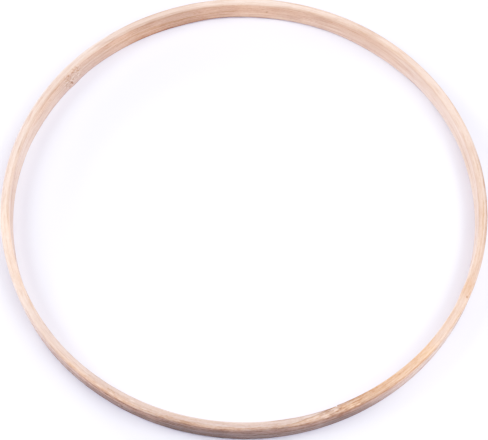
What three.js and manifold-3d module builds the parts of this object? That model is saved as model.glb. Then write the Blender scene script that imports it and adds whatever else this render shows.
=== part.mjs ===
// Bamboo embroidery ring: one strip of culm wall, planed, bent to a circle and glued in a scarf lap.
// Millimetres, +Z up. The ring lies flat, with the centre of its lower rim at the origin.
import * as THREE from 'three';
import { mergeVertices, toCreasedNormals } from 'three/addons/utils/BufferGeometryUtils.js';
import Module from 'manifold-3d';

// The strip
const OUTER_DIAMETER = 200;
const STRIP_HEIGHT = 11;
const STRIP_THICKNESS = 3.8;
const EDGE_RADIUS = 1.1;

// The scarf lap: the outer end starts at LAP_START, and the inner end stops LAP_LENGTH further on
const LAP_START = THREE.MathUtils.degToRad(277.2);
const LAP_LENGTH = 24;
const TIP_THICKNESS = 0.4;
const TIP_SINK = 0.4;
const GLUE_THICKNESS = 0.2;
const GLUE_CLEARANCE = 0.05;

// The culm's nodes, left as low swellings on the inner face
const NODE_PLACES = [140.8, 334.5].map(THREE.MathUtils.degToRad);
const NODE_LENGTH = 10;
const NODE_RISE = 0.25;

// Facets
const RING_STEPS = 240;
const EDGE_STEPS = 3;
const SEAM_STEPS = 16;

// Room for a cutter to run clear of the surface that it cuts
const CUT_CLEARANCE = 1;

const BAMBOO = { color: 0xe6c39f, roughness: 0.55, metalness: 0 };
const GLUE = { color: 0xb98a55, roughness: 0.4, metalness: 0 };

const outerRadius = OUTER_DIAMETER / 2;
const innerRadius = outerRadius - STRIP_THICKNESS;
const middleRadius = outerRadius - STRIP_THICKNESS / 2;
const seamWidth = GLUE_THICKNESS + 2 * GLUE_CLEARANCE;
const seamAngle = seamWidth / middleRadius;
const lapEnd = LAP_START + LAP_LENGTH / middleRadius;
const tipGap = lapEnd + seamAngle / 2;
const edgeRadius = Math.min(EDGE_RADIUS, STRIP_THICKNESS / 2, STRIP_HEIGHT / 2);

const wasm = await Module();
wasm.setup();

const polar = (radius, angle) => new THREE.Vector2(radius * Math.cos(angle), radius * Math.sin(angle));

// Angle from one place on the ring to another, taken the short way round
const turnBetween = (from, to) => Math.atan2(Math.sin(to - from), Math.cos(to - from));

// How far along the lap an angle lies, 0 at the outer tip and 1 at the inner tip
const lapShare = (angle) => turnBetween(LAP_START, angle) / (lapEnd - LAP_START);

// Radius of the inner face: nodes stand proud of it, and the inner tip sinks below it
function innerFace(angle) {
  let radius = innerRadius;
  for (const place of NODE_PLACES) {
    const along = turnBetween(place, angle) * middleRadius;
    if (Math.abs(along) < NODE_LENGTH / 2) {
      radius -= NODE_RISE * Math.cos((Math.PI * along) / NODE_LENGTH) ** 2;
    }
  }
  if (turnBetween(LAP_START, angle) > 0 && turnBetween(angle, tipGap) > 0) {
    radius += TIP_SINK * THREE.MathUtils.smoothstep(lapShare(angle), 0, 1);
  }
  return radius;
}

// Section of the strip as points (radius, height), anticlockwise, with eased corners
function stripSection(inner) {
  const corners = [
    [outerRadius - edgeRadius, STRIP_HEIGHT - edgeRadius],
    [inner + edgeRadius, STRIP_HEIGHT - edgeRadius],
    [inner + edgeRadius, edgeRadius],
    [outerRadius - edgeRadius, edgeRadius],
  ];
  const points = [];
  corners.forEach(([radius, height], corner) => {
    for (let step = 0; step <= EDGE_STEPS; step++) {
      const angle = (Math.PI / 2) * (corner + step / EDGE_STEPS);
      points.push([radius + edgeRadius * Math.cos(angle), height + edgeRadius * Math.sin(angle)]);
    }
  });
  return points;
}

// Places round the ring where the section is drawn, with a close pair at the step by the inner tip
function stations() {
  const spacing = seamAngle / 4;
  const angles = [tipGap - spacing, tipGap + spacing];
  for (let step = 0; step < RING_STEPS; step++) {
    const angle = (2 * Math.PI * step) / RING_STEPS;
    if (Math.abs(turnBetween(tipGap, angle)) > seamAngle) {
      angles.push(angle);
    }
  }
  return angles.map((angle) => THREE.MathUtils.euclideanModulo(angle, 2 * Math.PI)).sort((a, b) => a - b);
}

// The whole ring before the lap is cut: sections lofted round the circle, closed both ways
function closedRing() {
  const rings = stations().map((angle) => ({ angle, section: stripSection(innerFace(angle)) }));
  const positions = [];
  for (const { angle, section } of rings) {
    for (const [radius, height] of section) {
      const { x, y } = polar(radius, angle);
      positions.push(x, y, height);
    }
  }
  const sides = rings[0].section.length;
  const triangles = [];
  for (let ring = 0; ring < rings.length; ring++) {
    const next = (ring + 1) % rings.length;
    for (let side = 0; side < sides; side++) {
      const after = (side + 1) % sides;
      const [a, b] = [ring * sides + side, ring * sides + after];
      const [c, d] = [next * sides + side, next * sides + after];
      triangles.push(a, c, b, b, c, d);
    }
  }
  const geometry = new THREE.BufferGeometry();
  geometry.setAttribute('position', new THREE.Float32BufferAttribute(positions, 3));
  geometry.setIndex(triangles);
  return geometry;
}

// Middle of the seam: from under the outer tip to over the inner tip
function seamRadius(angle) {
  const atOuterTip = outerRadius - TIP_THICKNESS - seamWidth / 2;
  const atInnerTip = innerRadius + TIP_SINK + TIP_THICKNESS + seamWidth / 2;
  return THREE.MathUtils.lerp(atOuterTip, atInnerTip, lapShare(angle));
}

// One side of a band along the seam, offset outwards from its middle
function seamSide(offset, from, to) {
  const points = [];
  for (let step = 0; step <= SEAM_STEPS; step++) {
    const angle = THREE.MathUtils.lerp(from, to, step / SEAM_STEPS);
    points.push(polar(seamRadius(angle) + offset, angle));
  }
  return points;
}

// Wall of the given outline that stands clear through the height of the strip
function cutterWall(outline) {
  const wall = new THREE.ExtrudeGeometry(new THREE.Shape(outline), {
    depth: STRIP_HEIGHT + 2 * CUT_CLEARANCE,
    bevelEnabled: false,
  });
  return wall.translate(0, 0, -CUT_CLEARANCE);
}

// Open slot of the lap: in past the outer tip, along the taper, and out past the inner tip
function seamSlot() {
  const outside = outerRadius + CUT_CLEARANCE;
  const inside = innerRadius - NODE_RISE - CUT_CLEARANCE;
  const half = seamWidth / 2;
  return cutterWall([
    polar(outside, LAP_START),
    ...seamSide(half, LAP_START, lapEnd + seamAngle),
    polar(inside, lapEnd + seamAngle),
    polar(inside, lapEnd),
    ...seamSide(-half, lapEnd, LAP_START - seamAngle),
    polar(outside, LAP_START - seamAngle),
  ]);
}

// Wall of adhesive along the taper, thinner than the slot that it lies in
function glueWall() {
  const half = GLUE_THICKNESS / 2;
  return cutterWall([
    ...seamSide(half, LAP_START, lapEnd),
    ...seamSide(-half, lapEnd, LAP_START),
  ]);
}

function toSolid(geometry) {
  const bare = geometry.clone();
  bare.deleteAttribute('normal');
  bare.deleteAttribute('uv');
  const merged = mergeVertices(bare);
  return new wasm.Manifold(new wasm.Mesh({
    numProp: 3,
    vertProperties: new Float32Array(merged.attributes.position.array),
    triVerts: new Uint32Array(merged.index.array),
  }));
}

function toGeometry(solid) {
  const mesh = solid.getMesh();
  const geometry = new THREE.BufferGeometry();
  geometry.setAttribute('position', new THREE.Float32BufferAttribute(mesh.vertProperties, 3));
  geometry.setIndex(Array.from(mesh.triVerts));
  return toCreasedNormals(geometry, Math.PI / 6);
}

function namedMesh(name, solid, finish) {
  const mesh = new THREE.Mesh(toGeometry(solid), new THREE.MeshStandardMaterial(finish));
  mesh.name = name;
  return mesh;
}

const ring = toSolid(closedRing());
const hoop = new THREE.Group();
hoop.add(
  namedMesh('bamboo_strip', ring.subtract(toSolid(seamSlot())), BAMBOO),
  namedMesh('glue_film', ring.intersect(toSolid(glueWall())), GLUE),
);

export default hoop;
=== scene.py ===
import math

import bpy
import numpy as np
from mathutils import Matrix, Vector


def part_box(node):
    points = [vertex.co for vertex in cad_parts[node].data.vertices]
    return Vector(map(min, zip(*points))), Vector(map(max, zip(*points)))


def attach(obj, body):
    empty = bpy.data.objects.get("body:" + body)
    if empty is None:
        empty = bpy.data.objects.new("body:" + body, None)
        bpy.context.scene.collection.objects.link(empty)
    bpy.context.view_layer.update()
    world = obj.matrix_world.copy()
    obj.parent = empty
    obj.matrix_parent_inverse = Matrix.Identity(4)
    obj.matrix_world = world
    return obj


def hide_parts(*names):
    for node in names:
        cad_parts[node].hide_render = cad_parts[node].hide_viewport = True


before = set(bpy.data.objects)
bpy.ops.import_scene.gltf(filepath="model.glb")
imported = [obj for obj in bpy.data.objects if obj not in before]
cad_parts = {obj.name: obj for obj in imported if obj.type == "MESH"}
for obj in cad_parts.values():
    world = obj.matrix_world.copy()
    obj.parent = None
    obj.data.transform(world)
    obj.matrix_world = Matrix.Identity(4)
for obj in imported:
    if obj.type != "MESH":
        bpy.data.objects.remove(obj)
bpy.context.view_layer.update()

# Sizes are in millimetres, and places round the ring are in degrees, counterclockwise from +X

# The ring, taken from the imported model
MM = 0.001
strip_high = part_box("bamboo_strip")[1]
film_low, film_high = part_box("glue_film")
outer_radius = strip_high.x / MM
strip_height = strip_high.z / MM
lap_start = math.atan2(film_low.y, film_low.x) % math.tau
lap_end = math.atan2(film_high.y, film_high.x) % math.tau

# The strip's section
STRIP_THICKNESS = 3.8
EDGE_RADIUS = 1.1
inner_radius = outer_radius - STRIP_THICKNESS
middle_radius = outer_radius - STRIP_THICKNESS / 2
girth = 2 * (strip_height + STRIP_THICKNESS)

# The scarf lap: its tips, its seam, and the top of the inner end, which sinks a little along the lap
TIP_THICKNESS = 0.4
TIP_SINK = 0.12
TIP_SHORT = 0.45
TIP_GAP = 0.03
SEAM_WIDTH = 0.24
FILM_THICKNESS = 0.2
FILM_RECESS = 0.04
LAP_STEP = 0.08
LAP_STEP_SHARE = 0.6
ring_length = math.tau * middle_radius
lap_length = (lap_end - lap_start) * middle_radius
strip_length = ring_length + lap_length

# The culm's nodes, which stand proud on the inner face, and the knotty patch of crossed fibres on each:
# half its length in degrees, its top, and a seed
LEFT_NODE = 140.8
RIGHT_NODE = 334.5
NODE_LENGTH = 10.0
NODE_RISE = 0.25
LEFT_PATCH = (2.2, 10.0, 31)
RIGHT_PATCH = (2.6, 7.5, 47)
PATCH_FOOT = (0.8, 2.2)
PATCH_FADE = 1.5
KNOT_SIZE = (1.5, 1.2)
KNOT_RISE = 0.1
WEAVE_LEAN = 55.0

# Strokes on the left node: place, height on the inner wall, length, lean from the grain, and strength
NODE_DARK = [
    (139.0, 10.1, 4.4, 57, 0.50), (140.1, 10.3, 4.2, 45, 0.35), (140.7, 9.2, 5.4, 33, 0.50),
    (142.2, 10.1, 4.0, 26, 0.42), (143.1, 9.2, 6.0, 72, 0.36), (140.2, 5.9, 4.4, 5, 0.42),
    (141.2, 6.9, 3.4, 80, 0.30), (138.6, 3.4, 2.8, -16, 0.38), (142.7, 2.4, 3.6, 60, 0.42),
]
NODE_PALE = [
    (141.6, 5.2, 5.0, 60, 0.85), (139.1, 4.8, 4.0, 20, 0.45), (142.2, 3.2, 3.2, 60, 0.55),
    (144.1, 6.6, 4.0, 75, 0.40), (141.3, 7.4, 4.0, 35, 0.50), (139.8, 7.6, 3.6, 40, 0.35),
    (138.4, 8.6, 4.6, 60, 0.35),
]
STROKE_WIDTH = 1.1

# Splinters and tears on the rim at the lap: place, distance out from the rim's middle, length and strength
LAP_PALE = [
    (283.0, -0.3, 8.0, 0.39), (286.0, -0.15, 4.0, 0.975), (288.0, 0.75, 4.4, 0.65), (288.2, 1.4, 3.2, 0.78),
    (290.7, -0.05, 2.6, 1.0), (292.3, 0.8, 2.0, 0.585), (292.7, -0.3, 2.4, 0.52), (294.3, 1.1, 3.4, 1.0),
    (294.4, 0.3, 2.6, 0.455), (295.8, 1.2, 2.6, 0.91), (298.0, 0.6, 3.6, 0.52),
]
LAP_DARK = [
    (286.8, -0.45, 3.4, 0.625), (287.2, 0.2, 3.0, 0.5), (289.0, -0.5, 3.8, 0.875), (289.6, 0.9, 3.8, 0.6875),
    (290.8, 0.6, 2.2, 0.75), (291.8, 0.1, 1.8, 0.625), (292.6, 0.3, 2.2, 0.625), (292.8, 1.1, 2.4, 0.6875),
    (295.2, -0.1, 3.6, 0.4375), (297.0, 1.3, 3.2, 0.4375),
]
SPLINTER_WIDTH = 0.55
TEAR_WIDTH = 0.5
LAP_LEAN = -3

# Stains at the lap: where the rim's sets in after the outer tip, where it ends after the lap, where it lies
# across the rim, and where the inner tip darkens, from the start of the lap and from the strip's end
STAIN_START = (3.8, 4.8)
STAIN_END = (2.0, 10.0)
STAIN_ACROSS = (-0.5, 0.3)
TIP_DARKENS = (12.0, 1.0)

# Dark fibres under the outer edge at the lower left (place, length and strength), and bright splinters on
# the rim beside them (place, distance out from the rim's middle, and length)
EDGE_FIBRES = [(235.0, 7.0, 0.60), (238.2, 5.0, 0.80), (242.4, 6.0, 0.70), (245.0, 36.0, 0.55)]
EDGE_SPLINTERS = [
    (235.8, 1.0, 3.2), (239.2, 1.0, 3.6), (241.6, 1.4, 2.6), (244.2, -0.3, 3.6), (247.2, 0.8, 2.4),
]
EDGE_FIBRE_WIDTH = 1.1
EDGE_FIBRES_MIDDLE = 239.0

# Single marks: place, height on a wall or distance out from the rim's middle, length, width and lean
NODE_PIT = (141.5, 3.2, 4.2, 1.2, 74)
WALL_SPECK = (83.9, 5.8, 1.7, 1.7)
RIM_SPECK = (332.8, 0.85, 1.6, 1.1)
SKIN_NICK = (241.9, 4.4, 2.8, 1.1, 70)
SKIN_CHIP = (241.2, 4.8, 2.8, 1.0, 70)
RIM_STAIN = (292.5, 0.2, 5.4, 4.2)
WALL_STAIN = (291.3, 9.2, 4.0, 5.0)

# How a short mark fades towards its ends and sides, as shares of half its length and width
DASH_FADE = (0.2, 1.1)

# Stretches round the ring: place of the middle, half the length and the soft ends in degrees, and an amount
ALL_ROUND = (0, 180, 1)

# Unevenness that hand sanding leaves: stretches of the inner and outer edge that are eased less or more, by
# a share of the radius, a slow wander of both, and the distances from the lap over which it sets in
TOP_EDGES = [[(270, 36, 12, -0.25)], [(237, 12, 8, -0.65)]]
LOW_EDGES = [[(27, 10, 8, 0.70), (82, 12, 16, 1.20), (148, 8, 6, -0.50)], [(246, 16, 8, 0.50)]]
TOP_SEED = 101
LOW_SEED = 201
EASE_WANDER = 0.12
EASE_LENGTH = 22
EVEN_NEAR_LAP = (2, 14)

# Unevenness that planing and scraping leave, and the fibres that they open, with their sizes along and
# across the grain, and how far fibres may stand proud of the inner face
PLANE_WANDER = 0.07
PLANE_SIZE = (30, 5.0)
PLANE_SEED = 3
FIBRE_DEPTH = 0.05
FIBRE_SIZE = (48, 1.3)
FIBRE_SEED = 11
OPEN_SIZE = (70, 6.0)
OPEN_SEED = 19
OPEN_RISE = (0.35, 0.7)
GROOVE_RISE = (0.78, 1.0)
GROOVE_DARK = 0.28
INNER_PROUD = 0.1

# Stretches where the rim, the walls and the eased edges are lighter or darker, by a share: partly the wood's
# own tone, partly painted shade and painted light where a side faces away from or towards the lamps, as on
# the darker near side, on the outer wall that darkens towards the floor, and on the lighter outer edge at
# the lower left
TONES_AND_PAINTED_SHADING = {
    "rim": [
        (28, 10, 6, 0.06), (48, 2, 5, 0.11), (72, 8, 6, 0.11), (93, 6, 8, 0.15), (100, 98, 12, 0.07),
        (120, 6, 6, -0.05), (132, 1, 5, 0.07), (158, 3, 5, 0.06), (180, 8, 8, 0.12), (196, 12, 6, 0.08),
        (224, 8, 6, -0.04), (268, 30, 10, -0.18), (268, 8, 8, -0.06), (294, 5, 4, -0.06),
        (307, 3, 5, -0.06), (320, 3, 5, 0.05),
    ],
    "inner": [
        (33, 15, 6, 0.07), (82, 7, 7, 0.13), (112, 6, 8, -0.15), (124, 2, 4, 0.10), (136, 8, 5, -0.05),
        (160, 10, 8, 0.06),
    ],
    "inner_upper": [(75, 5, 6, -0.09), (94, 5, 5, 0.06), (159, 5, 5, 0.06)],
    "inner_lower": [(22, 6, 5, -0.07), (117, 2, 4, 0.10), (144, 22, 8, -0.06)],
    "outer": [
        (*ALL_ROUND, -0.13), (212, 4, 6, 0.20), (226, 4, 4, 0.06), (260, 5, 5, -0.06), (265, 34, 10, -0.13),
        (275, 22, 4, -0.16), (281, 5, 4, 0.08), (302, 4, 4, 0.06), (316, 6, 6, 0.24),
    ],
    "outer_upper": [(*ALL_ROUND, 0.19), (238, 8, 6, 0.08), (276, 12, 5, -0.08), (288, 6, 4, 0.08)],
    "outer_lower": [(241, 5, 5, -0.06), (262, 8, 6, 0.07)],
    "inner_edge": [
        (6, 12, 8, -0.07), (72, 8, 5, -0.06), (80, 86, 12, -0.12), (108, 10, 6, -0.08), (140, 3, 5, 0.06),
        (179, 4, 6, -0.07), (202, 12, 8, 0.09), (226, 8, 6, -0.16), (243, 6, 6, -0.07), (270, 3, 5, 0.08),
        (287, 7, 6, -0.26),
    ],
    "outer_edge": [
        (0, 8, 8, -0.12), (52, 30, 8, 0.08), (70, 84, 10, -0.06), (165, 16, 8, -0.18), (216, 10, 6, 0.12),
        (238, 6, 6, 0.19), (264, 3, 5, 0.14), (312, 3, 4, 0.09), (325, 6, 6, 0.20),
    ],
}

# Stretches where the wood is more yellow
WARM_TONES = {
    "rim": [(195, 6, 8, 0.25), (306, 10, 6, 0.90), (340, 14, 8, 0.35)],
    "outer_rim": [(235, 7, 5, 0.35)],
    "inner": [(88, 40, 10, 0.30), (102, 16, 8, 0.25)],
    "inner_upper": [(66, 12, 8, 0.22), (141, 14, 8, 0.22)],
    "outer_upper": [(264, 30, 8, 0.50), (304, 4, 4, 0.30)],
    "inner_edge": [(85, 86, 12, 0.30)],
    "outer_edge": [(48, 26, 8, 0.25), (114, 8, 6, 0.25)],
}

# Paler stretches, the darker band of the right node on the rim, and painted shade in darker lines along
# the foot of the inner wall where it meets the floor, with the heights up to which each is full and where it
# is gone
PALE_STRETCHES = {
    "rim": [(112, 30, 10, 0.12), (131, 6, 6, 0.30)],
    "inner_rim": [(252, 34, 10, 0.30)],
    "inner_foot": [(54, 34, 8, 0.30), (145, 20, 6, 0.30)],
}
NODE_BAND = (335.0, 1.2, 2.2)
PAINTED_FOOT_SHADE = [(99, 13, 6, 0.50, 0.7, 2.0), (130, 14, 8, 0.18, 2.2, 4.2), (136, 18, 8, 0.45, 0.5, 1.3)]

# How strongly the fibres show, and by what share more the short flecks between them do
RIM_STREAKS = [(*ALL_ROUND, 0.55), (270, 40, 10, 0.30), (330, 20, 10, 0.15)]
INNER_STREAKS = [(*ALL_ROUND, 1.0), (38, 22, 8, -0.35), (118, 18, 8, 0.05), (156, 10, 5, 0.20)]
OUTER_STREAKS = [(*ALL_ROUND, 1.3), (270, 56, 12, 0.60)]
RIM_FLECKS = [(266, 34, 10, 0.40), (290, 8, 4, 0.90)]
OUTER_FLECKS = [(232, 18, 8, 0.50), (308, 18, 8, 0.10)]

# Where one part of the surface gives way to the next, as distances from a wall, from the top of the strip,
# from the rim's middle or from the floor
WALL_FADE = (0.3, 1.2)
RIM_FADE = (0.5, 1.3)
EDGE_DROP = (0.8, 1.6)
INNER_EDGE_FADE = (0.5, 1.2)
OUTER_EDGE_FADE = (0.8, 1.5)
INNER_RIM_FADE = (-0.9, 0.0)
OUTER_RIM_RISE = (-0.3, 0.5)
UPPER_RISE = (4.5, 9.0)
FOOT_FADE = (2.5, 6.0)

# How closely the sections and the points of each section stand, and where they stand closest: place and
# distance to each side of it, and distances past the lap and before it
COARSE_STEP = 1.25
FINE_STEP = 0.3
STEP_EDGE = 0.012
STEP_CLEARANCE = 0.072
TRIAL_STEPS = 40000
CLOSE_PLACES = [(LEFT_NODE, 8.0), (RIGHT_NODE, 5.0), (EDGE_FIBRES_MIDDLE, 10.0), (WALL_SPECK[0], 1.5)]
CLOSE_PAST_LAP = 10.0
CLOSE_BEFORE_LAP = 1.0
CLOSE_FADE = 4.0
RIM_POINTS = 22
WALL_POINTS = 30
FILM_STATIONS = 80
SHARP_CORNER = 50
outer_wall_points = slice(0, WALL_POINTS)
inner_wall_points = slice(WALL_POINTS + RIM_POINTS, 2 * WALL_POINTS + RIM_POINTS)

# The bake map: rows of unrolled surface, their margins, and the strip of the map that holds the ends
MAP_ROWS = 5
MAP_EDGE = 0.02
ROW_EDGE = 0.03
ROWS_SHARE = 0.95
ENDS_ROW = (0.965, 0.985)

# What the bamboo's surface shows, by its length along the grain and its width across it
BROAD_BANDS = (70.0, 3.2)
CLOUDS = (9.0, 4.5)
LINES = (45.0, 1.2)
FIBRES = (26.0, 0.75)
HAIRS = (4.5, 0.5)
BUNDLES = (8.0, 0.42)
SPECKS = (1.2, 0.45)
WEAVE = (2.5, 0.65)

# How far the fine relief rises, and the shares that fibres and hair lines have in it
BAMBOO_RELIEF = 0.06
FIBRE_RELIEF = 0.6
HAIR_RELIEF = 0.4

# How strongly each kind of grain shades the wood, and the share of the others that a full weave hides
BROAD_SHADE = 0.5
CLOUD_SHADE = 0.15
LINE_SHADE = 0.75
FIBRE_SHADE = 1.05
HAIR_SHADE = 0.6
SPECK_SHADE = 0.6
WEAVE_SHADE = 2.0
WEAVE_HIDES = 0.5

# Colours of the bamboo and of its pale fibres, and what bundles, skin, stains and painted shade multiply
# them by
WOOD_TANS = [
    (0.10, (0.480, 0.325, 0.215)),
    (0.36, (0.600, 0.440, 0.330)),
    (0.50, (0.654, 0.497, 0.393)),
    (0.68, (0.705, 0.560, 0.455)),
    (0.95, (0.770, 0.650, 0.555)),
]
BUNDLE_EDGES = [(0.55, (0.0, 0.0, 0.0)), (0.68, (1.0, 1.0, 1.0))]
BUNDLE_STAIN = (0.62, 0.52, 0.44, 1.0)
SKIN_STAIN = (0.80, 0.80, 0.82, 1.0)
PALE_FIBRE = (0.80, 0.67, 0.58, 1.0)
WARM_STAIN = (1.02, 0.86, 0.71, 1.0)
DARK_STAIN_AND_SHADE = (0.46, 0.36, 0.30, 1.0)

# Strength of the bundles' stain, what the skin adds to it, and strength of the skin's own stain
BUNDLE_SHARE = 0.35
SKIN_BUNDLES = 0.3
SKIN_SHARE = 0.45

# How rough the surfaces are, what hair lines, stains and bubbles add to that, and what wear takes off
BAMBOO_ROUGH = 0.5
HAIR_ROUGH = 0.25
STAIN_ROUGH = 0.15
WEAR_SMOOTHS = 0.08
GLUE_ROUGH = 0.25
BUBBLE_ROUGH = 0.3
FLOOR_ROUGH = 0.8

# How strongly fine relief shows, and how strongly the finer layers of the noise do
BUMP_STRENGTH = 0.3
NOISE_ROUGH = 0.55

# The set glue: its cloudy ambers, the sizes of its clouds and bubbles, and how far the bubbles rise
GLUE_AMBERS = [
    (0.30, (0.48, 0.33, 0.21)),
    (0.52, (0.58, 0.42, 0.29)),
    (0.75, (0.64, 0.49, 0.37)),
]
GLUE_CLOUDS = (2.5, 1.2)
GLUE_BUBBLES = (0.35, 0.35)
GLUE_RELIEF = 0.05

# The camera: its place, its turns in degrees, its lens, and the depth that it sees in metres
CAMERA_PLACE = (-1.11, -239.26, 465.93)
CAMERA_YAW = 0.259
CAMERA_PITCH = 63.387
CAMERA_ROLL = 0.243
SENSOR_WIDTH = 36.0
FOCAL_LENGTH = 92.21
SEEN_DEPTH = (0.01, 20.0)

# The studio's soft square lights, a little cool: the turn from +X and the tilt up from the floor in
# degrees, the distance and the side in metres, and the power in watts
LIGHT_COLOUR = (1.0, 0.965, 1.06)
STUDIO_LIGHTS = [
    ("right_low_light", 0, 12, 0.75, 0.20, 1.02),
    ("right_light", 0, 45, 0.75, 0.35, 1.42),
    ("right_high_light", 0, 65, 0.75, 0.35, 1.08),
    ("back_right_light", 45, 45, 0.75, 0.35, 0.74),
    ("back_left_light", 135, 12, 0.75, 0.20, 2.60),
    ("left_low_light", 180, 12, 0.75, 0.20, 1.65),
    ("left_light", 180, 45, 0.75, 0.35, 2.54),
    ("front_right_light", 315, 45, 0.75, 0.35, 1.83),
    ("top_light", 270, 80, 0.30, 0.15, 0.16),
]

# The floor, which glows with painted light more and more away from the ring until it is plain white, in
# metres
FLOOR_REACH = 3.0
FLOOR_COLOUR = (0.86, 0.885, 0.94, 1.0)
FLOOR_GLOW = [(0.25, (0.0, 0.0, 0.0)), (0.7, (1.0, 1.0, 1.0))]

# The tone curve that the picture is printed with, drawn on the curve for all three colours
ALL_COLOURS = 3
CURVE_SHOULDER = 0.35
CURVE_STEPS = 8


def along_at(degrees):
    """Length along the strip, from its outer tip, to a place round the ring."""
    return ((math.radians(degrees) - lap_start) % math.tau) * middle_radius


def smooth_step(value, low, high):
    """0 up to low and 1 from high on, with a smooth rise between."""
    share = np.clip((value - low) / (high - low), 0.0, 1.0)
    return share * share * (3 - 2 * share)


def fade(value, full, gone):
    """1 up to full and 0 from gone on, with a smooth fall between."""
    return 1 - smooth_step(value, full, gone)


def hump(offset, reach):
    """1 in the middle and 0 from reach outwards."""
    return np.where(np.abs(offset) < reach, np.cos(np.pi * offset / (2 * reach)) ** 2, 0.0)


def round_ring(run, place, half, soft):
    """1 within half of a place round the ring and 0 from half and soft outwards, in degrees."""
    turn = np.degrees(lap_start + run / middle_radius)
    return fade(np.abs((turn - place + 180) % 360 - 180), half, half + soft)


def stretch_sum(run, stretches):
    """Sum of the amounts of all stretches round the ring."""
    return sum(amount * round_ring(run, place, half, soft) for place, half, soft, amount in stretches)


def soft_noise(along, across, length, width, seed):
    """Smooth random values from 0 to 1 in cells of length by width, closed round the strip's girth."""
    rows = int(strip_length / length) + 3
    columns = max(1, round(girth / width))
    drawn = np.random.default_rng(seed).random((rows, columns))
    row, column = np.broadcast_arrays(along / length, across / girth * columns)
    row_low = np.floor(row).astype(int)
    column_low = np.floor(column).astype(int)
    u = smooth_step(row - row_low, 0.0, 1.0)
    v = smooth_step(column - column_low, 0.0, 1.0)
    left, right = column_low % columns, (column_low + 1) % columns
    before = drawn[row_low, left] * (1 - v) + drawn[row_low, right] * v
    after = drawn[row_low + 1, left] * (1 - v) + drawn[row_low + 1, right] * v
    return before * (1 - u) + after * u


def strip_stations():
    """Lengths along the strip where a section is drawn, closer where there is more to see."""
    trial = np.linspace(0.0, strip_length - TIP_SHORT, TRIAL_STEPS + 1)
    spans = [(along_at(place) - reach, along_at(place) + reach) for place, reach in CLOSE_PLACES]
    spans += [(0.0, lap_length + CLOSE_PAST_LAP), (ring_length - CLOSE_BEFORE_LAP, strip_length)]
    near = np.zeros_like(trial)
    for first, last in spans:
        inside = smooth_step(trial, first - CLOSE_FADE, first) * fade(trial, last, last + CLOSE_FADE)
        near = np.maximum(near, inside)
    closeness = 1 / COARSE_STEP + (1 / FINE_STEP - 1 / COARSE_STEP) * near
    count = np.concatenate([[0.0], np.cumsum((closeness[1:] + closeness[:-1]) / 2 * np.diff(trial))])
    spaced = np.interp(np.linspace(0.0, count[-1], int(count[-1]) + 1), count, trial)
    steps = [lap_length + SEAM_WIDTH, ring_length - TIP_GAP]
    clear = np.all([np.abs(spaced - step) > STEP_CLEARANCE for step in steps], axis=0)
    pairs = [step + side * STEP_EDGE for step in steps for side in (-1, 1)]
    return np.sort(np.concatenate([spaced[clear], pairs]))


def strip_faces(along):
    """Radius of the whole strip's inner and outer face at each station."""
    inner = np.full_like(along, inner_radius)
    for node in (LEFT_NODE, RIGHT_NODE):
        inner -= NODE_RISE * hump(along - along_at(node), NODE_LENGTH / 2)
    inner += TIP_SINK * smooth_step(along, ring_length, strip_length)
    return inner, np.full_like(along, outer_radius)


def seam_middle(share):
    """Radius of the middle of the seam, from under the outer tip to over the inner tip."""
    at_outer_tip = outer_radius - TIP_THICKNESS - SEAM_WIDTH / 2
    at_inner_tip = inner_radius + TIP_SINK + TIP_THICKNESS + SEAM_WIDTH / 2
    return at_outer_tip + (at_inner_tip - at_outer_tip) * share


def outer_end(along):
    """Which stations lie on the strip's outer end, over the seam."""
    return along < lap_length + SEAM_WIDTH


def inner_end(along):
    """Which stations lie on the strip's inner end, under the seam."""
    return along > ring_length - TIP_GAP


def strip_limits(along, inner_face, outer_face):
    """Radii between which the tapered ends leave wood at each station."""
    over = seam_middle(along / lap_length) + SEAM_WIDTH / 2
    under = seam_middle((along - ring_length) / lap_length) - SEAM_WIDTH / 2
    return np.where(outer_end(along), over, inner_face), np.where(inner_end(along), under, outer_face)


def edge_eases(along, seed, stretches):
    """Radius of the inner and outer eased edge of a rim, even at the lap and wandering elsewhere."""
    near, far = EVEN_NEAR_LAP
    clear = smooth_step(along, lap_length + near, lap_length + far)
    clear = clear * fade(along, ring_length - far, ring_length - near)
    eases = []
    for side, side_stretches in enumerate(stretches):
        wander = 2 * soft_noise(along, 0.0, EASE_LENGTH, girth, seed + side) - 1
        ease = EDGE_RADIUS * (1 + EASE_WANDER * wander * clear)
        eases.append(ease * (1 + stretch_sum(along, side_stretches)))
    return eases


def rim_outline(faces, limits, eases):
    """Radius of points across a rim, from the outer limit to the inner one, and their drop below it."""
    inner_face, outer_face = (face[:, None] for face in faces)
    inner_ease, outer_ease = (ease[:, None] for ease in eases)
    outer_arc = outer_ease * np.pi / 2
    flat = outer_face - outer_ease - inner_face - inner_ease

    def run_to(radius):
        on_outer = np.arccos(np.clip((radius - outer_face + outer_ease) / outer_ease, 0, 1)) * outer_ease
        on_inner = np.arcsin(np.clip((inner_face + inner_ease - radius) / inner_ease, 0, 1)) * inner_ease
        on_flat = np.clip(outer_face - outer_ease - radius, 0, flat)
        return on_outer + on_flat + on_inner

    first, last = run_to(limits[1][:, None]), run_to(limits[0][:, None])
    run = first + (last - first) * np.linspace(0, 1, RIM_POINTS)
    outer_turn = np.clip(run / outer_ease, 0, np.pi / 2)
    inner_turn = np.clip((run - outer_arc - flat) / inner_ease, 0, np.pi / 2)
    on_flat = np.clip(run - outer_arc, 0, flat)
    inward = outer_ease * (1 - np.cos(outer_turn)) + on_flat + inner_ease * np.sin(inner_turn)
    drop = outer_ease * (1 - np.sin(outer_turn)) + inner_ease * (1 - np.cos(inner_turn))
    return outer_face - inward, drop


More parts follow.
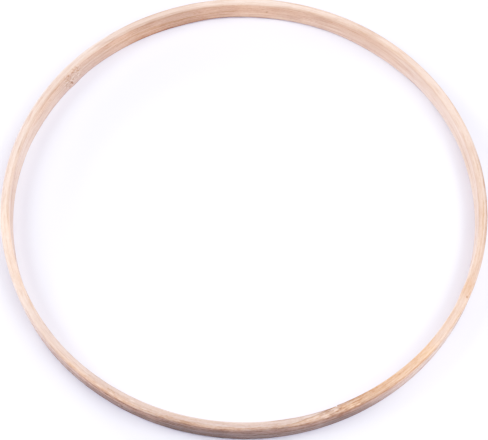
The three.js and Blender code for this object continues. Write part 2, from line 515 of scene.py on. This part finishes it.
def section_loops(faces, limits, top_eases, low_eases):
    """Radius and height of each section's points: up the outer wall, over the top rim, down and back."""
    top_radius, top_drop = rim_outline(faces, limits, top_eases)
    low_radius, low_drop = rim_outline(faces, limits, low_eases)
    rise = np.linspace(0, 1, WALL_POINTS + 2)[1:-1]
    outer_low, outer_high = low_drop[:, :1], strip_height - top_drop[:, :1]
    inner_low, inner_high = low_drop[:, -1:], strip_height - top_drop[:, -1:]
    outer_wall = outer_low + (outer_high - outer_low) * rise
    inner_wall = inner_high + (inner_low - inner_high) * rise
    radius = np.hstack([
        np.broadcast_to(top_radius[:, :1], outer_wall.shape),
        top_radius,
        np.broadcast_to(top_radius[:, -1:], inner_wall.shape),
        low_radius[:, ::-1],
    ])
    height = np.hstack([outer_wall, strip_height - top_drop, inner_wall, low_drop[:, ::-1]])
    return radius, height


def girth_places(radius, height):
    """How far round the section each point lies: up the outer wall, over the top rim, down and back."""
    inward = outer_radius - radius
    half = RIM_POINTS // 2
    stretch = np.repeat(np.arange(5), [WALL_POINTS, half, half + WALL_POINTS, half, half])
    return np.choose(stretch, [
        height,
        height + inward,
        2 * strip_height - height + inward,
        girth - inward - height,
        girth - inward + height,
    ])


def outward(radius, height):
    """Unit direction out of the section at each of its points."""
    across = np.roll(radius, -1, axis=1) - np.roll(radius, 1, axis=1)
    rise = np.roll(height, -1, axis=1) - np.roll(height, 1, axis=1)
    length = np.hypot(across, rise)
    return rise / length, -across / length


class Marks:
    """Stains, painted shade and cuts at every point of the strip's surface."""

    def __init__(self, run, radius, height):
        self.run, self.height = run, height
        self.depth = radius - inner_radius
        self.across = radius - middle_radius
        self.drop = strip_height - height
        self.inside = fade(self.depth, *WALL_FADE)
        self.outside = fade(STRIP_THICKNESS - self.depth, *WALL_FADE)
        self.above = fade(self.drop, *RIM_FADE)
        self.dark = self.pale = self.warm = np.zeros_like(radius)
        self.cut = self.weave = np.zeros_like(radius)

    def sides(self):
        """Masks of the rim, the walls and the eased top edges, and of parts of them."""
        inner, outer = (1 - self.above) * self.inside, (1 - self.above) * self.outside
        upper = smooth_step(self.height, *UPPER_RISE)
        edges = fade(self.drop, *EDGE_DROP)
        return {
            "rim": self.above,
            "inner_rim": edges * fade(self.across, *INNER_RIM_FADE),
            "outer_rim": self.above * smooth_step(self.across, *OUTER_RIM_RISE),
            "inner": inner,
            "inner_upper": inner * upper,
            "inner_lower": inner * (1 - upper),
            "inner_foot": self.inside * fade(self.height, *FOOT_FADE),
            "outer": outer,
            "outer_upper": outer * upper,
            "outer_lower": outer * (1 - upper),
            "inner_edge": edges * fade(self.depth, *INNER_EDGE_FADE),
            "outer_edge": edges * fade(STRIP_THICKNESS - self.depth, *OUTER_EDGE_FADE),
        }

    def near(self, place, half, soft):
        return round_ring(self.run, place, half, soft)

    def total(self, stretches):
        return stretch_sum(self.run, stretches)

    def dash(self, place, off, length, width, lean):
        """1 along the middle of a short mark and 0 outside it; lean turns it from the grain, in degrees."""
        turn = math.radians(lean)
        ahead = self.run - along_at(place)
        lengthwise = ahead * math.cos(turn) + off * math.sin(turn)
        sideways = off * math.cos(turn) - ahead * math.sin(turn)
        return fade(2 * np.hypot(lengthwise / length, sideways / width), *DASH_FADE)

    def on_rim(self, place, across, length, width, lean=0.0):
        return self.dash(place, self.across - across, length, width, lean) * self.above

    def on_inner_wall(self, place, height, length, width, lean=0.0):
        return self.dash(place, self.height - height, length, width, lean) * self.inside

    def on_outer_wall(self, place, height, length, width, lean=0.0):
        return self.dash(place, self.height - height, length, width, lean) * self.outside

    def add(self, shape, dark=0.0, pale=0.0, warm=0.0, cut=0.0):
        """Stain a shape, or paint shade on it, where it isn't stained or shaded more already, and cut it
        into the surface.
        """
        self.dark = np.maximum(self.dark, dark * shape)
        self.pale = np.maximum(self.pale, pale * shape)
        self.warm = np.maximum(self.warm, warm * shape)
        self.cut = self.cut + cut * shape


def crossed_fibres(marks, node, half, top, seed):
    """Knotty patch where a sheath grew on the culm's inner wall, and fibres weave across the grain."""
    patch = marks.near(node, half, half) * marks.inside * smooth_step(marks.height, *PATCH_FOOT)
    patch = patch * fade(marks.height, top, top + PATCH_FADE)
    knots = 2 * soft_noise(marks.run, marks.height, *KNOT_SIZE, seed) - 1
    marks.weave = np.maximum(marks.weave, patch)
    marks.cut = marks.cut + KNOT_RISE * patch * knots


def mark_left_node(marks):
    """The first node: crossed fibres inside, with pale and dark strokes across the grain, and a pit."""
    crossed_fibres(marks, LEFT_NODE, *LEFT_PATCH)
    for place, height, length, lean, strength in NODE_PALE:
        stroke = marks.on_inner_wall(place, height, length, STROKE_WIDTH, lean)
        marks.add(stroke, pale=0.7 * strength, cut=-0.15 * strength)
    for place, height, length, lean, strength in NODE_DARK:
        stroke = marks.on_inner_wall(place, height, length, STROKE_WIDTH, lean)
        marks.add(stroke, dark=0.8 * strength, cut=0.2 * strength)
    marks.add(marks.on_inner_wall(*NODE_PIT), dark=0.95, cut=0.3)


def mark_right_node(marks):
    """The second node: crossed fibres inside, and a darker band across the rim with a speck."""
    crossed_fibres(marks, RIGHT_NODE, *RIGHT_PATCH)
    marks.add(marks.near(*NODE_BAND) * marks.above, dark=0.12, warm=0.35)
    marks.add(marks.on_rim(*RIM_SPECK), dark=0.85, cut=0.12)


def mark_fibres(marks):
    """Dark fibres under the outer edge at the lower left, bright splinters beside them, and specks."""
    for place, length, strength in EDGE_FIBRES:
        shape = marks.on_outer_wall(place, strip_height - EDGE_RADIUS, length, EDGE_FIBRE_WIDTH)
        marks.add(shape, dark=strength, cut=0.1 * strength)
    for place, across, length in EDGE_SPLINTERS:
        marks.add(marks.on_rim(place, across, length, SPLINTER_WIDTH), pale=0.8, cut=-0.03)
    marks.add(marks.on_outer_wall(*SKIN_NICK), dark=0.6, cut=0.1)
    marks.add(marks.on_outer_wall(*SKIN_CHIP), pale=0.4)
    marks.add(marks.on_inner_wall(*WALL_SPECK), dark=0.5, cut=0.12)


def mark_lap(marks):
    """Torn and stained fibres where the two ends are glued."""
    stain = smooth_step(marks.run, *STAIN_START)
    stain = stain * fade(marks.run, *(lap_length + past for past in STAIN_END))
    marks.add(stain * smooth_step(marks.across, *STAIN_ACROSS) * marks.above, warm=0.55)
    inner_tip = smooth_step(marks.run, ring_length + TIP_DARKENS[0], strip_length - TIP_DARKENS[1])
    marks.add(inner_tip * marks.above, dark=0.35)
    for place, across, length, strength in LAP_PALE:
        shape = marks.on_rim(place, across, length, SPLINTER_WIDTH, LAP_LEAN)
        marks.add(shape, pale=strength, warm=0.4, cut=-0.02)
    for place, across, length, strength in LAP_DARK:
        shape = marks.on_rim(place, across, length, TEAR_WIDTH, LAP_LEAN)
        marks.add(shape, dark=strength, cut=0.05)
    marks.add(marks.on_rim(*RIM_STAIN), dark=0.1, warm=0.7)
    marks.add(marks.on_outer_wall(*WALL_STAIN), dark=0.2, warm=0.5)


def mark_pale_stretches_and_foot_shade(marks, sides):
    """Paler stretches, and painted shade in darker lines along the foot of the inner wall."""
    for side, stretches in PALE_STRETCHES.items():
        for place, half, soft, pale in stretches:
            marks.add(marks.near(place, half, soft) * sides[side], pale=pale)
    # Painted shade: darker lines where the foot of the inner wall meets the floor
    for place, half, soft, dark, full, gone in PAINTED_FOOT_SHADE:
        line = marks.near(place, half, soft) * marks.inside * fade(marks.height, full, gone)
        marks.add(line, dark=dark)


def side_tones(marks, sides, tones):
    """Sum of the tones of all stretches, each on its own side of the strip."""
    return sum(marks.total(stretches) * sides[side] for side, stretches in tones.items())


def streak_strength(marks):
    """How strongly the fibres show: least on most of the rim, most on the skin side."""
    rim, inner, outer = map(marks.total, (RIM_STREAKS, INNER_STREAKS, OUTER_STREAKS))
    walls = inner + (outer - inner) * marks.outside
    return walls + (rim - walls) * marks.above


def fleck_strength(marks, sides, streaks):
    """How strongly the short flecks between the fibres show."""
    more = marks.total(RIM_FLECKS) * sides["rim"] + marks.total(OUTER_FLECKS) * sides["outer"]
    return streaks * (1 + more)


def planed_relief(run, place):
    """How much planing and scraping takes off, and the lines of the fibres that they open."""
    uneven = soft_noise(run, place, *PLANE_SIZE, PLANE_SEED)
    valley = 1 - np.abs(2 * soft_noise(run, place, *FIBRE_SIZE, FIBRE_SEED) - 1)
    opened = soft_noise(run, place, *OPEN_SIZE, OPEN_SEED)
    groove = smooth_step(valley, *GROOVE_RISE) * smooth_step(opened, *OPEN_RISE)
    return PLANE_WANDER * uneven + FIBRE_DEPTH * groove, groove


def surface_cut(along, marks, relief):
    """How deep each point lies below the plain strip; the lap's glued faces stay plain."""
    highest = np.where(marks.inside > 0.5, -INNER_PROUD, 0.0)
    sunk = smooth_step(marks.run, ring_length, ring_length + LAP_STEP_SHARE * lap_length) * marks.above
    cut = np.maximum(relief + marks.cut, highest) + LAP_STEP * sunk
    cut[outer_end(along), inner_wall_points] = 0.0
    cut[inner_end(along), outer_wall_points] = 0.0
    return cut


def loop_faces(stations, points):
    """Quads between neighbouring sections, with both ends closed by quads across the section."""
    station, point = np.meshgrid(np.arange(stations - 1), np.arange(points), indexing="ij")
    after = (point + 1) % points
    sides = [station * points + point, (station + 1) * points + point]
    sides += [(station + 1) * points + after, station * points + after]
    quads = np.stack(sides, axis=-1).reshape(-1, 4)
    half = RIM_POINTS // 2
    outer_path = np.arange(-half, WALL_POINTS + half)
    inner_path = 2 * WALL_POINTS + RIM_POINTS + half - 1 - np.arange(len(outer_path))
    outer_path = outer_path % points
    start = np.stack([outer_path[:-1], outer_path[1:], inner_path[1:], inner_path[:-1]], axis=-1)
    end = start[:, ::-1] + (stations - 1) * points
    return np.vstack([quads, start, end])


def unrolled_map(mesh, along, points):
    """Bake map: the surface unrolled and cut into even lengths that lie one above the other."""
    row_length = (along[-1] - along[0]) / MAP_ROWS
    middle = (along[:-1] + along[1:]) / 2 - along[0]
    row = np.minimum(middle / row_length, MAP_ROWS - 1).astype(int)
    width = 1 - 2 * MAP_EDGE
    corners = []
    for step, side in ((0, 0), (1, 0), (1, 1), (0, 1)):
        station = along[step:len(along) - 1 + step] - along[0]
        u = MAP_EDGE + width * (station / row_length - row)
        up_row = ROW_EDGE + (1 - 2 * ROW_EDGE) * (np.arange(points) + side) / points
        v = ROWS_SHARE * (row[:, None] + up_row) / MAP_ROWS
        corners.append(np.stack([np.broadcast_to(u[:, None], v.shape), v], axis=-1))
    sides = np.stack(corners, axis=2).reshape(-1, 2)
    caps = len(mesh.polygons) - (len(along) - 1) * points
    left = MAP_EDGE + width * np.arange(caps) / caps
    right = left + width / caps
    low, high = (np.full(caps, level) for level in ENDS_ROW)
    ends = np.stack([left, low, left, high, right, high, right, low], axis=-1).reshape(-1, 2)
    layer = mesh.uv_layers.new(name="OFBake")
    layer.data.foreach_set("uv", np.vstack([sides, ends]).astype(np.float32).ravel())


def loft(name, along, radius, height, layers):
    """Mesh object through the sections, with values kept at each point for its finish."""
    angle = lap_start + along[:, None] / middle_radius
    points = np.stack([radius * np.cos(angle), radius * np.sin(angle), height], axis=-1)
    faces = loop_faces(*radius.shape)
    mesh = bpy.data.meshes.new(name)
    mesh.from_pydata((points.reshape(-1, 3) * MM).tolist(), [], faces.tolist())
    for label, values in layers.items():
        layer = mesh.attributes.new(label, "FLOAT_VECTOR", "POINT")
        layer.data.foreach_set("vector", np.stack(values, axis=-1).astype(np.float32).ravel())
    unrolled_map(mesh, along, radius.shape[1])
    mesh.shade_smooth()
    mesh.set_sharp_from_angle(angle=math.radians(SHARP_CORNER))
    piece = bpy.data.objects.new(name, mesh)
    bpy.context.scene.collection.objects.link(piece)
    return piece


def bamboo_strip():
    """The bent strip with its skived ends, planed and marked."""
    along = strip_stations()
    faces = strip_faces(along)
    limits = strip_limits(along, *faces)
    top_eases = edge_eases(along, TOP_SEED, TOP_EDGES)
    low_eases = edge_eases(along, LOW_SEED, LOW_EDGES)
    radius, height = section_loops(faces, limits, top_eases, low_eases)
    run = np.broadcast_to(along[:, None], radius.shape)
    relief, groove = planed_relief(run, girth_places(radius, height))
    marks = Marks(run, radius, height)
    sides = marks.sides()
    marks.add(groove, dark=GROOVE_DARK)
    mark_left_node(marks)
    mark_right_node(marks)
    mark_fibres(marks)
    mark_lap(marks)
    mark_pale_stretches_and_foot_shade(marks, sides)
    # The tones: the wood's own lighter and darker stretches, with painted shade and painted light on the
    # sides that face away from or towards the lamps
    light = side_tones(marks, sides, TONES_AND_PAINTED_SHADING) * (1 - marks.pale)
    warm = side_tones(marks, sides, WARM_TONES) + marks.warm
    streaks = streak_strength(marks)
    out_radius, out_height = outward(radius, height)
    # Handling wears the eased edges: 1 halfway round them, and 0 on the flats
    worn = (2 * out_radius * out_height) ** 2
    layers = {
        "grain": (run, marks.depth, height),
        "marks": (marks.dark, marks.pale, marks.weave),
        "tone": (light, warm, marks.outside),
        "fibres": (streaks, fleck_strength(marks, sides, streaks), worn),
    }
    cut = surface_cut(along, marks, relief)
    return loft("bent_bamboo_strip", along, radius - cut * out_radius, height - cut * out_height, layers)


def glue_film():
    """The sheet of set glue in the seam, a hair below the wood at both rims."""
    along = np.linspace(0.0, lap_length, FILM_STATIONS)
    middle = seam_middle(along / lap_length)
    faces = (np.full_like(along, inner_radius), np.full_like(along, outer_radius))
    limits = (middle - FILM_THICKNESS / 2, middle + FILM_THICKNESS / 2)
    eases = [np.full_like(along, EDGE_RADIUS)] * 2
    radius, height = section_loops(faces, limits, eases, eases)
    height = np.clip(height, FILM_RECESS, strip_height - FILM_RECESS)
    run = np.broadcast_to(along[:, None], radius.shape)
    return loft("lap_glue_film", along, radius, height, {"grain": (run, radius - inner_radius, height)})


class Value:
    """A socket whose number varies over a surface; arithmetic on it adds Math nodes."""

    def __init__(self, finish, socket):
        self.finish = finish
        self.socket = socket

    def math(self, operation, *values):
        return self.finish.node("ShaderNodeMath", {"operation": operation}, dict(enumerate(values)))

    def __add__(self, other):
        return self.math("ADD", self, other)

    def __radd__(self, other):
        return self.math("ADD", other, self)

    def __sub__(self, other):
        return self.math("SUBTRACT", self, other)

    def __rsub__(self, other):
        return self.math("SUBTRACT", other, self)

    def __mul__(self, other):
        return self.math("MULTIPLY", self, other)

    def __rmul__(self, other):
        return self.math("MULTIPLY", other, self)


class Finish:
    """A procedural material and the one way its nodes are added."""

    def __init__(self, name):
        self.material = bpy.data.materials.new(name)
        self.material.use_nodes = True
        self.tree = self.material.node_tree
        self.shader = self.tree.nodes["Principled BSDF"]

    def node(self, kind, settings, sockets, output=0):
        """A node of a type, with its settings and then its sockets, as the output or outputs asked for."""
        made = self.tree.nodes.new(kind)
        for key, value in settings.items():
            if key == "stops":
                self.set_stops(made.color_ramp, value)
            else:
                setattr(made, key, value)
        self.join(made, sockets)
        if isinstance(output, tuple):
            return [Value(self, made.outputs[place]) for place in output]
        return Value(self, made.outputs[output])

    def join(self, made, sockets):
        for key, value in sockets.items():
            if isinstance(value, Value):
                self.tree.links.new(value.socket, made.inputs[key])
            else:
                made.inputs[key].default_value = value

    def set_stops(self, ramp, stops):
        for spare in range(len(stops) - len(ramp.elements)):
            ramp.elements.new(1.0)
        for element, (place, colour) in zip(ramp.elements, stops):
            element.position = place
            element.color = (*colour, 1.0)

    def layer(self, name):
        """The three numbers kept at each point under a name."""
        vector = self.node("ShaderNodeAttribute", {"attribute_name": name}, {}, output=1)
        return self.node("ShaderNodeSeparateXYZ", {}, {0: vector}, output=(0, 1, 2))

    def mix(self, share, first, second, blend="MIX"):
        settings = {"data_type": "RGBA", "blend_type": blend, "clamp_factor": True}
        return self.node("ShaderNodeMix", settings, {0: share, 6: first, 7: second}, output=2)

    def ramp(self, value, stops):
        return self.node("ShaderNodeValToRGB", {"stops": stops}, {0: value})

    def noise(self, place, long, wide, detail=2.0):
        """Noise drawn out along the grain: long and wide are the size of its patches in millimetres."""
        along, depth, height = place
        sides = {0: along * (1 / long), 1: depth * (1 / wide), 2: height * (1 / wide)}
        vector = self.node("ShaderNodeCombineXYZ", {}, sides)
        sockets = {"Vector": vector, "Scale": 1.0, "Detail": detail, "Roughness": NOISE_ROUGH}
        return self.node("ShaderNodeTexNoise", {"noise_dimensions": "3D"}, sockets)

    def bump(self, height, rise):
        """Fine relief that rises by a length in millimetres."""
        sockets = {"Strength": BUMP_STRENGTH, "Distance": rise * MM, "Height": height}
        return self.node("ShaderNodeBump", {}, sockets)

    def give(self, piece):
        piece.data.materials.clear()
        piece.data.materials.append(self.material)


def bamboo_finish():
    """Sanded bamboo: long fibres in tans, dark bundles, most of all in the skin, and the strip's marks."""
    finish = Finish("sanded_bamboo")
    grain = finish.layer("grain")
    dark, pale, weave = finish.layer("marks")
    light, warm, skin = finish.layer("tone")
    streaks, flecks, worn = finish.layer("fibres")
    along, depth, height = grain
    lean = math.radians(WEAVE_LEAN)
    lengthwise = along * math.cos(lean) + height * math.sin(lean)
    sideways = height * math.cos(lean) - along * math.sin(lean)
    warp = finish.noise((lengthwise, depth, sideways), *WEAVE)
    weft = finish.noise((sideways, depth, lengthwise), *WEAVE)
    broad = finish.noise(grain, *BROAD_BANDS)
    cloud = finish.noise(grain, *CLOUDS)
    fibre = finish.noise(grain, *FIBRES, detail=3.0)
    line = finish.noise(grain, *LINES)
    hair = finish.noise(grain, *HAIRS)
    bundle = finish.noise(grain, *BUNDLES)
    speck = finish.noise(grain, *SPECKS)
    # The noise lies round 0.5, and so does the shade, whose 0.5 is the middle of the tans
    lines = (broad - 0.5) * BROAD_SHADE + (cloud - 0.5) * CLOUD_SHADE + (line - 0.5) * LINE_SHADE
    lines = lines + (fibre - 0.5) * FIBRE_SHADE
    fine = (hair - 0.5) * HAIR_SHADE + (speck - 0.5) * SPECK_SHADE
    shade = (lines * streaks + fine * flecks) * (1 - WEAVE_HIDES * weave)
    shade = 0.5 + shade + (warp + weft - 1) * WEAVE_SHADE * weave
    wood = finish.ramp(shade, WOOD_TANS)
    short = finish.ramp(bundle, BUNDLE_EDGES)
    wood = finish.mix(short * (BUNDLE_SHARE + SKIN_BUNDLES * skin), wood, BUNDLE_STAIN, "MULTIPLY")
    wood = finish.mix(SKIN_SHARE * skin, wood, SKIN_STAIN, "MULTIPLY")
    wood = finish.mix(pale, wood, PALE_FIBRE)
    wood = finish.mix(warm, wood, WARM_STAIN, "MULTIPLY")
    # Dark stains, and painted shade at the foot of the inner wall
    wood = finish.mix(dark, wood, DARK_STAIN_AND_SHADE, "MULTIPLY")
    # Lighten or darken by the tones, partly the wood's own and partly painted shade and painted light
    wood = finish.node("ShaderNodeVectorMath", {"operation": "SCALE"}, {0: wood, 3: 1 + light})
    raised = FIBRE_RELIEF * fibre + HAIR_RELIEF * hair + (warp + weft) * weave
    relief = finish.bump(raised, BAMBOO_RELIEF)
    rough = BAMBOO_ROUGH + (hair - 0.5) * HAIR_ROUGH + STAIN_ROUGH * dark - WEAR_SMOOTHS * worn
    finish.join(finish.shader, {"Base Color": wood, "Roughness": rough, "Normal": relief})
    return finish


def glue_finish():
    """Set adhesive: amber, cloudy in patches, with small bubbles."""
    finish = Finish("set_glue")
    grain = finish.layer("grain")
    cloud = finish.noise(grain, *GLUE_CLOUDS)
    bubble = finish.noise(grain, *GLUE_BUBBLES)
    amber = finish.ramp(cloud, GLUE_AMBERS)
    relief = finish.bump(bubble, GLUE_RELIEF)
    rough = GLUE_ROUGH + BUBBLE_ROUGH * bubble
    finish.join(finish.shader, {"Base Color": amber, "Roughness": rough, "Normal": relief})
    return finish


def photo_camera():
    """Camera at the photograph's angle, turned by yaw, pitch and roll."""
    yaw, pitch, roll = (math.radians(angle) for angle in (CAMERA_YAW, CAMERA_PITCH, CAMERA_ROLL))
    level = math.cos(pitch)
    forward = Vector((math.sin(yaw) * level, math.cos(yaw) * level, -math.sin(pitch)))
    flat_right = Vector((math.cos(yaw), -math.sin(yaw), 0.0))
    flat_up = flat_right.cross(forward)
    right = flat_right * math.cos(roll) + flat_up * math.sin(roll)
    up = flat_up * math.cos(roll) - flat_right * math.sin(roll)
    data = bpy.data.cameras.new("photo_camera")
    data.sensor_fit = "HORIZONTAL"
    data.sensor_width = SENSOR_WIDTH
    data.lens = FOCAL_LENGTH
    data.clip_start, data.clip_end = SEEN_DEPTH
    camera = bpy.data.objects.new("photo_camera", data)
    turn = Matrix((right, up, -forward)).transposed().to_4x4()
    camera.matrix_world = Matrix.Translation(Vector(CAMERA_PLACE) * MM) @ turn
    bpy.context.scene.collection.objects.link(camera)
    bpy.context.scene.camera = camera


def soft_light(name, turn, tilt, distance, side, power):
    """Square light that faces the middle of the ring."""
    turn, tilt = math.radians(turn), math.radians(tilt)
    level = math.cos(tilt)
    towards = Vector((math.cos(turn) * level, math.sin(turn) * level, math.sin(tilt)))
    data = bpy.data.lights.new(name, "AREA")
    data.shape = "SQUARE"
    data.size = side
    data.energy = power
    data.color = LIGHT_COLOUR
    light = bpy.data.objects.new(name, data)
    light.location = towards * distance
    light.rotation_euler = towards.to_track_quat("Z", "Y").to_euler()
    light.visible_camera = False
    bpy.context.scene.collection.objects.link(light)


def studio():
    """Soft lights round the ring, and white air that lights nothing."""
    for light in STUDIO_LIGHTS:
        soft_light(*light)
    world = bpy.data.worlds.new("studio_air")
    world.use_nodes = True
    bpy.context.scene.world = world
    background = world.node_tree.nodes["Background"]
    background.inputs["Color"].default_value = (1.0, 1.0, 1.0, 1.0)
    background.inputs["Strength"].default_value = 1.0
    world.cycles_visibility.diffuse = False
    world.cycles_visibility.glossy = False


def print_curve():
    """Tone curve of the printed picture: dark tones deepen and bright ones roll off to white."""
    view = bpy.context.scene.view_settings
    view.view_transform = "Standard"
    view.use_curve_mapping = True
    tone = view.curve_mapping.curves[ALL_COLOURS]
    for step in range(1, CURVE_STEPS):
        light = (step / CURVE_STEPS) ** 2
        tone.points.new(step / CURVE_STEPS, (1 + CURVE_SHOULDER) * light / (light + CURVE_SHOULDER))
    view.curve_mapping.update()


def pale_floor():
    """Plain floor under the ring, glowing with painted light away from it."""
    mesh = bpy.data.meshes.new("pale_floor")
    corners = [(x * FLOOR_REACH, y * FLOOR_REACH, 0.0) for x, y in ((-1, -1), (1, -1), (1, 1), (-1, 1))]
    mesh.from_pydata(corners, [], [(0, 1, 2, 3)])
    floor = bpy.data.objects.new("pale_floor", mesh)
    bpy.context.scene.collection.objects.link(floor)
    finish = Finish("white_floor")
    place = finish.node("ShaderNodeTexCoord", {}, {}, output="Object")
    distance = finish.node("ShaderNodeVectorMath", {"operation": "LENGTH"}, {0: place}, output="Value")
    colours = {"Base Color": FLOOR_COLOUR, "Emission Color": finish.ramp(distance, FLOOR_GLOW)}
    finish.join(finish.shader, {**colours, "Emission Strength": 1.0, "Roughness": FLOOR_ROUGH})
    finish.give(floor)


photo_camera()
pale_floor()
studio()
print_curve()

strip = bamboo_strip()
bamboo_finish().give(strip)
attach(strip, "root")
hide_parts("bamboo_strip")

film = glue_film()
glue_finish().give(film)
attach(film, "root")
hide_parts("glue_film")
